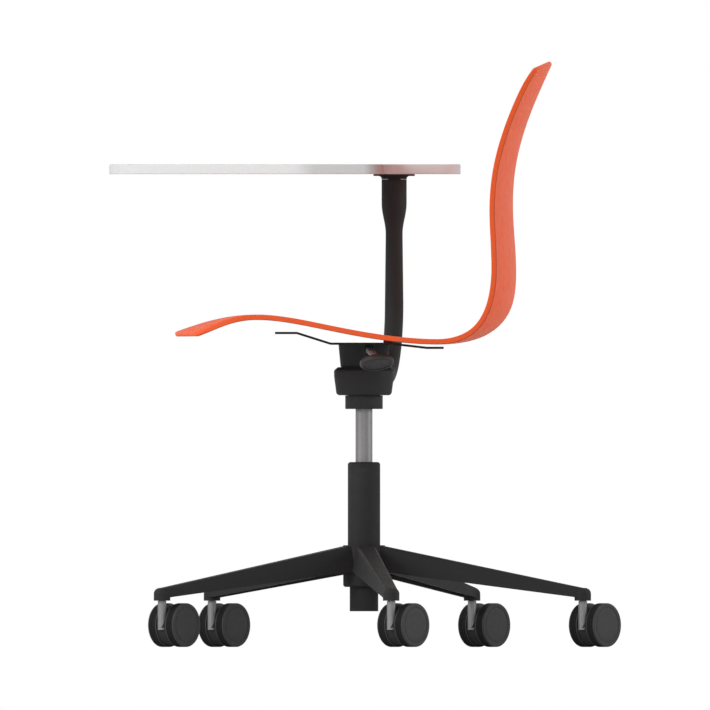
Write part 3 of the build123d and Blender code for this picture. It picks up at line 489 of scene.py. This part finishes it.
# Seat shell: one smooth moulded sheet with a rounded rim and four screw bosses
def natural_spline(knots, values, at):
    """Cubic spline through values at knots, with free ends, read at other places."""
    count = len(knots)
    steps = np.diff(knots)
    system = np.zeros((count, count))
    right = np.zeros((count, values.shape[1]))
    system[0, 0] = system[-1, -1] = 1.0
    for i in range(1, count - 1):
        system[i, i - 1 : i + 2] = steps[i - 1], 2 * (steps[i - 1] + steps[i]), steps[i]
        right[i] = 6 * ((values[i + 1] - values[i]) / steps[i] - (values[i] - values[i - 1]) / steps[i - 1])
    bend = np.linalg.solve(system, right)
    i = np.clip(np.searchsorted(knots, at) - 1, 0, count - 2)
    low, high, step = (knots[i + 1] - at)[:, None], (at - knots[i])[:, None], steps[i][:, None]
    return (
        (bend[i] * low**3 + bend[i + 1] * high**3) / (6 * step)
        + (values[i] / step - bend[i] * step / 6) * low
        + (values[i + 1] / step - bend[i + 1] * step / 6) * high
    )


def back_corner():
    """Leaning side, top arc and corner circle of the back's outline, seen from the front."""
    top = SITTING_STATIONS[-1][0][1] + SHELL_THICKNESS / 2
    drop = TOP_BOW * (BACK_TOP_HALF_WIDTH / SEAT_HALF_WIDTH) ** 2
    lean = (BACK_FOOT_HALF_WIDTH - BACK_TOP_HALF_WIDTH) / (top - drop - BACK_FOOT_HEIGHT)
    arch = (BACK_TOP_HALF_WIDTH**2 + drop**2) / (2 * drop)
    slope = math.hypot(1.0, lean)
    low, high = top - 4 * BACK_CORNER, top
    for halving in range(50):
        centre_z = (low + high) / 2
        centre_x = BACK_FOOT_HALF_WIDTH - lean * (centre_z - BACK_FOOT_HEIGHT) - BACK_CORNER * slope
        if math.hypot(centre_x, centre_z - top + arch) < arch - BACK_CORNER:
            low = centre_z
        else:
            high = centre_z
    return lean, (centre_x, centre_z), centre_z + BACK_CORNER * lean / slope


def half_width(y, z):
    """Half the shell's width where its sitting surface is at this place."""
    width = np.full_like(y, SEAT_HALF_WIDTH)
    lip = np.clip(y - (SITTING_STATIONS[0][0][0] - SHELL_THICKNESS), 0.0, FRONT_CORNER)
    rounding = np.sqrt(FRONT_CORNER**2 - (FRONT_CORNER - lip) ** 2)
    width = np.minimum(width, SEAT_HALF_WIDTH - FRONT_CORNER + rounding)
    lean, (centre_x, centre_z), turn_z = back_corner()
    side = BACK_FOOT_HALF_WIDTH - lean * (z - BACK_FOOT_HEIGHT)
    corner = centre_x + np.sqrt(np.maximum(0.0, BACK_CORNER**2 - (z - centre_z) ** 2))
    return np.minimum(width, np.where(z > turn_z, corner, side))


def rim_shape(edge, steps=5):
    """Outward reach and depth of the rim: a flat band with small edges, and a half round, point for point."""
    turns = [math.radians(90 * i / (steps - 1)) for i in range(steps)]
    upper = [(edge * math.sin(t), edge * (1 - math.cos(t))) for t in turns]
    lower = [(out, SHELL_THICKNESS - depth) for out, depth in reversed(upper)]
    flat = upper + [(edge, SHELL_THICKNESS / 2)] + lower
    half = SHELL_THICKNESS / 2
    turns = [math.pi * i / (len(flat) - 1) for i in range(len(flat))]
    return flat, [(half * math.sin(t), half * (1 - math.cos(t))) for t in turns]


def shell_mesh(along_steps=150, across_steps=56, edge=1.1, blend=30.0):
    """Points in metres and faces of the shell, and at each point the share of a painted shade line along the
    rim's lower edge. The rim has small edges along the sides, and within the blend's length from both ends it
    turns into a half round."""
    stations = np.array([s[0] for s in SITTING_STATIONS])
    shares = np.array([(s[2] * LIP_BOW - s[1] * WING_DEPTH, 0.0) for s in SITTING_STATIONS])
    top_step = stations[-1] - stations[-2]
    shares[-1] -= top_step * TOP_BOW / top_step[1]
    knots = np.concatenate(([0.0], np.cumsum(np.linalg.norm(np.diff(stations, axis=0), axis=1))))
    # Steps along the shell, part even and part closer together at both ends
    even = np.linspace(0.0, 1.0, along_steps)
    closer = 0.5 - 0.5 * np.cos(np.pi * even)
    at = knots[-1] * (0.55 * even + 0.45 * closer)
    at = np.concatenate(([0.0, edge], at[1:-1], [knots[-1] - edge, knots[-1]]))
    middle = natural_spline(knots, stations, at)
    spread = natural_spline(knots, shares, at)

    def surface(across):
        """Sitting points, and the way to the underside, for a distance across at each step along."""
        line = middle + spread * ((across / SEAT_HALF_WIDTH) ** 2)[:, None]
        nearby = at - SLOPE_STEP
        behind = natural_spline(knots, stations, nearby)
        behind = behind + natural_spline(knots, shares, nearby) * ((across / SEAT_HALF_WIDTH) ** 2)[:, None]
        way = line - behind
        way /= np.linalg.norm(way, axis=1)[:, None]
        top = np.column_stack((across, line))
        under = np.column_stack((np.zeros(len(at)), way[:, 1], -way[:, 0]))
        return top, under

    # Distance across at which the sitting surface meets the outline
    low, high = np.zeros(len(at)), np.full(len(at), SEAT_HALF_WIDTH)
    for halving in range(40):
        guess = (low + high) / 2
        line = middle + spread * ((guess / SEAT_HALF_WIDTH) ** 2)[:, None]
        inside = half_width(line[:, 0], line[:, 1]) > guess
        low, high = np.where(inside, guess, low), np.where(inside, high, guess)
    reach = low - edge
    places = [v * reach for v in np.linspace(-1.0, 1.0, across_steps)]
    places = [places[0], places[0] + edge] + places[1:-1] + [places[-1] - edge, places[-1]]
    columns = [surface(across) for across in places]
    upper = np.array([c[0] for c in columns])
    down = np.array([c[1] for c in columns])
    lower = upper + down * SHELL_THICKNESS
    last_i, last_j = len(places) - 1, len(at) - 1

    def number(i, j, side):
        """Index of a point of the sitting surface, side 0, or of the underside, side 1."""
        return (i * len(at) + j) * 2 + side

    # Sitting surface and underside
    points = list(np.stack((upper, lower), axis=2).reshape(-1, 3))
    faces = []
    for i in range(last_i):
        for j in range(last_j):
            faces.append((number(i, j, 0), number(i + 1, j, 0), number(i + 1, j + 1, 0), number(i, j + 1, 0)))
            faces.append((number(i, j, 1), number(i, j + 1, 1), number(i + 1, j + 1, 1), number(i + 1, j, 1)))
    # Rim, ring by ring from the sitting surface down
    loop = [(i, 0) for i in range(last_i)] + [(last_i, j) for j in range(last_j)]
    loop += [(i, last_j) for i in range(last_i, 0, -1)] + [(0, j) for j in range(last_j, 0, -1)]
    rim_top = np.array([upper[i, j] for i, j in loop])
    rim_down = np.array([down[i, j] for i, j in loop])
    tangent = np.roll(rim_top, -2, axis=0) - np.roll(rim_top, 2, axis=0)
    outward = np.cross(rim_down, tangent)
    outward /= np.linalg.norm(outward, axis=1)[:, None]
    if np.sum(outward * (rim_top - np.array(SHELL_MIDDLE))) < 0:
        outward = -outward
    walk = np.concatenate(([0.0], np.cumsum(np.linalg.norm(np.diff(upper[last_i], axis=0), axis=1))))
    near_end = np.array([min(walk[j], walk[-1] - walk[j]) for i, j in loop]) / blend
    fade = np.clip(1.0 - near_end, 0.0, 1.0)
    fade = (fade**2 * (3 - 2 * fade))[:, None]
    rings = [[number(i, j, 0) for i, j in loop]]
    flat, rounded = rim_shape(edge)
    for (flat_out, flat_drop), (round_out, round_drop) in list(zip(flat, rounded))[1:-1]:
        out = flat_out + (round_out - flat_out) * fade
        drop = flat_drop + (round_drop - flat_drop) * fade
        rings.append(list(range(len(points), len(points) + len(loop))))
        points.extend(rim_top + outward * out + rim_down * drop)
    rings.append([number(i, j, 1) for i, j in loop])
    for first, second in zip(rings, rings[1:]):
        for k in range(len(loop)):
            after = (k + 1) % len(loop)
            faces.append((first[k], second[k], second[after], first[after]))
    # Painted shade: a dark line on the rim's lower edge, standing in for the shade of the edge's fillet; it fades
    # out where the rim turns half round
    painted_rim_shade = np.zeros(len(points))
    for ring, (out, depth) in zip(rings, flat):
        if depth > SHELL_THICKNESS - 0.9 * edge:
            painted_rim_shade[ring] = 1.0 - fade[:, 0]
    return np.array(points) * MM, faces, painted_rim_shade


def boss_profile(height, edge=0.6, chamfer=0.4):
    """A screw boss from the plate up into the shell, with a blind hole and a fillet at its root."""
    flare = [
        (BOSS_RADIUS + BOSS_ROOT - BOSS_ROOT * math.cos(a), height - BOSS_ROOT + BOSS_ROOT * math.sin(a))
        for a in np.linspace(0, 1.4, 6)
    ]
    return (
        [(0.0, height - edge), (SCREW_HOLE, height - edge), (SCREW_HOLE, chamfer), (SCREW_HOLE + chamfer, 0.0)]
        + [(BOSS_RADIUS - edge, 0.0), (BOSS_RADIUS - edge / 3, edge / 3), (BOSS_RADIUS, edge)]
        + flare
        + [(0.0, height + chamfer)]
    )


def join(first, *others):
    """One object from several."""
    with bpy.context.temp_override(active_object=first, selected_editable_objects=[first, *others]):
        bpy.ops.object.join()
    return first


shell_points, shell_faces, shell_painted_rim_shade = shell_mesh()
shell = mesh_object("seat_shell_moulding", shell_points, shell_faces)
# The point attribute carries the painted shade line along the rim's lower edge
shell.data.attributes.new("painted_rim_shade", "FLOAT", "POINT").data.foreach_set("value", shell_painted_rim_shade)
bosses = []
for side in (-1, 1):
    for across, setback in SEAT_SCREWS:
        # Lowest point of the underside round the boss
        near = [
            p
            for p in shell_points / MM
            if abs(p[0] - side * across) < BOSS_PATCH[0] and abs(p[1] - setback) < BOSS_PATCH[1]
        ]
        underside = min(p[2] for p in near)
        profile = boss_profile(underside - PLATE_TOP + BOSS_SINK)
        points, faces = lathe([(r * MM, h * MM) for r, h in profile], BOSS_SEGMENTS)
        boss = mesh_object("shell_boss", points, faces, smooth_angle=40)
        boss.data.transform(Matrix.Translation((side * across * MM, setback * MM, PLATE_TOP * MM)))
        bosses.append(boss)
shell = join(shell, *bosses)
shell.data.materials.clear()
shell.data.materials.append(finishes["orange_shell"])
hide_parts("seat_shell")
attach(shell, "seat")

# Caster wheels: a dark grey body and a black tread
# Each profile gives radius and distance from the wheel's inner side, in millimetres
body_profile = (
    # recessed face
    [(0.0, 14.4), (9.0, 14.42), (18.0, 14.42), (23.8, 14.42)]
    # fine groove round the face
    + [(24.0, 14.35), (24.15, 14.0), (24.9, 14.0), (25.05, 14.35)]
    # raised border with a rounded edge
    + [(25.3, 14.5), (26.2, 14.92), (26.6, WHEEL_WIDTH), (28.4, WHEEL_WIDTH)]
    + arc((WHEEL_RADIUS - WHEEL_EDGE, WHEEL_WIDTH - WHEEL_EDGE), WHEEL_EDGE, 90, 0, 8)
)
tread_profile = [
    (WHEEL_RADIUS, 12.6),
    (WHEEL_RADIUS, 7.8),
    # parting line round the middle
    (WHEEL_RADIUS - 0.12, 7.6),
    (WHEEL_RADIUS, 7.4),
    (WHEEL_RADIUS, 2.0),
    # step at the inner side
    (WHEEL_RADIUS - 0.25, 1.85),
    (WHEEL_RADIUS - 0.25, 1.75),
]
inner_profile = (
    # rounded inner edge
    [(WHEEL_RADIUS - 0.1, 1.65)]
    + arc((WHEEL_RADIUS - 0.7, 0.7), 0.7, 0, -90, 4)
    # hollow round the hub
    + [(26.3, 0.0), (25.75, 0.5), (25.7, 9.8), (24.9, 10.5), (8.8, 10.5), (8.1, 9.9), (8.0, 0.4), (7.6, 0.0)]
    # blind bore for the axle
    + [(3.45, 0.0), (3.05, 0.4), (3.05, 10.0), (0.0, 10.0)]
)
wheel_profile = body_profile + tread_profile + inner_profile
wheel_points, wheel_faces = lathe([(r * MM, h * MM) for r, h in wheel_profile], WHEEL_SEGMENTS)
tread_from = len(body_profile) * WHEEL_SEGMENTS
tread_to = tread_from + (len(tread_profile) - 1) * WHEEL_SEGMENTS
heading = math.radians(CASTER_HEADING)
trail_way = Vector((math.cos(heading), math.sin(heading), 0.0))
axle_way = Vector((0.0, 0.0, 1.0)).cross(trail_way)
wheel_mesh = None
for number in range(1, LEG_COUNT + 1):
    leg = math.radians(LEG_FIRST_ANGLE + 360 / LEG_COUNT * (number - 1))
    foot = Vector((math.cos(leg), math.sin(leg), 0.0)) * LEG_REACH
    axle = foot + trail_way * CASTER_TRAIL + Vector((0.0, 0.0, WHEEL_RADIUS))
    for side, way in (("left", axle_way), ("right", -axle_way)):
        name = f"caster_{number}_{side}_tyre"
        if wheel_mesh is None:
            wheel = mesh_object(name, wheel_points, [f[::-1] for f in wheel_faces], smooth_angle=35)
            wheel_mesh = wheel.data
            wheel_mesh.materials.append(finishes["wheel_nylon"])
            wheel_mesh.materials.append(tread_finish)
            for polygon in wheel_mesh.polygons[tread_from:tread_to]:
                polygon.material_index = 1
        else:
            wheel = bpy.data.objects.new(name, wheel_mesh)
            scene.collection.objects.link(wheel)
        turn = way.to_track_quat("Z", "Y").to_matrix().to_4x4()
        wheel.matrix_world = Matrix.Translation((axle + way * WHEEL_GAP / 2) * MM) @ turn
        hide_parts(f"caster_{number}_wheel_{side}")
        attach(wheel, f"caster_{number}_{side}_wheel")

# Floor, world, lamps and camera
floor_corners = ((-1, -1), (1, -1), (1, 1), (-1, 1))
floor = mesh_object(
    "studio_floor",
    [(x * FLOOR_HALF, y * FLOOR_HALF, 0) for x, y in floor_corners],
    [(0, 1, 2, 3)],
)
floor_finish, tree, bsdf = shader("studio_floor")
floor_tone = tint(tree, noise(tree, place(tree), 3.0, 3.0), (0.86, 0.86, 0.86), (0.9, 0.9, 0.9))
tree.links.new(floor_tone, bsdf.inputs["Base Color"])
bsdf.inputs["Roughness"].default_value = 0.9
bsdf.inputs["Specular IOR Level"].default_value = 0.1
floor.data.materials.append(floor_finish)

world = bpy.data.worlds.new("studio")
scene.world = world
world.use_nodes = True
tree = world.node_tree
tree.nodes.clear()
rays = tree.nodes.new("ShaderNodeLightPath")
shown = sums(
    tree,
    "MAXIMUM",
    rays.outputs["Is Camera Ray"],
    sums(tree, "MAXIMUM", rays.outputs["Is Glossy Ray"], rays.outputs["Is Transmission Ray"]),
)
plain = tree.nodes.new("ShaderNodeBackground")
plain.inputs["Color"].default_value = (1.0, 1.0, 1.0, 1.0)
plain.inputs["Strength"].default_value = 1.0
ambient = tree.nodes.new("ShaderNodeBackground")
ambient.inputs["Color"].default_value = (1.0, 1.0, 1.0, 1.0)
ambient.inputs["Strength"].default_value = AMBIENT
blend = tree.nodes.new("ShaderNodeMixShader")
tree.links.new(shown, blend.inputs[0])
tree.links.new(ambient.outputs[0], blend.inputs[1])
tree.links.new(plain.outputs[0], blend.inputs[2])
output = tree.nodes.new("ShaderNodeOutputWorld")
tree.links.new(blend.outputs[0], output.inputs["Surface"])

for name, place_at, aim, size, power in LAMPS:
    lamp = bpy.data.lights.new(name, "AREA")
    lamp.shape = "SQUARE"
    lamp.size = size
    lamp.energy = power
    lamp_object = bpy.data.objects.new(name, lamp)
    lamp_object.location = place_at
    lamp_object.rotation_euler = (Vector(aim) - Vector(place_at)).to_track_quat("-Z", "Y").to_euler()
    scene.collection.objects.link(lamp_object)

camera = bpy.data.cameras.new("photo")
camera.type = "ORTHO"
camera.ortho_scale = PHOTO_PIXELS * PHOTO_SCALE * MM
camera_object = bpy.data.objects.new("photo", camera)
camera_object.location = (
    CAMERA_DISTANCE,
    (PHOTO_PIXELS / 2 - PHOTO_AXIS_COLUMN) * PHOTO_SCALE * MM,
    (PHOTO_FLOOR_ROW - PHOTO_PIXELS / 2) * PHOTO_SCALE * MM,
)
camera_object.rotation_euler = (math.radians(90), 0.0, math.radians(90))
scene.collection.objects.link(camera_object)
scene.camera = camera_object
scene.view_settings.view_transform = "Standard"
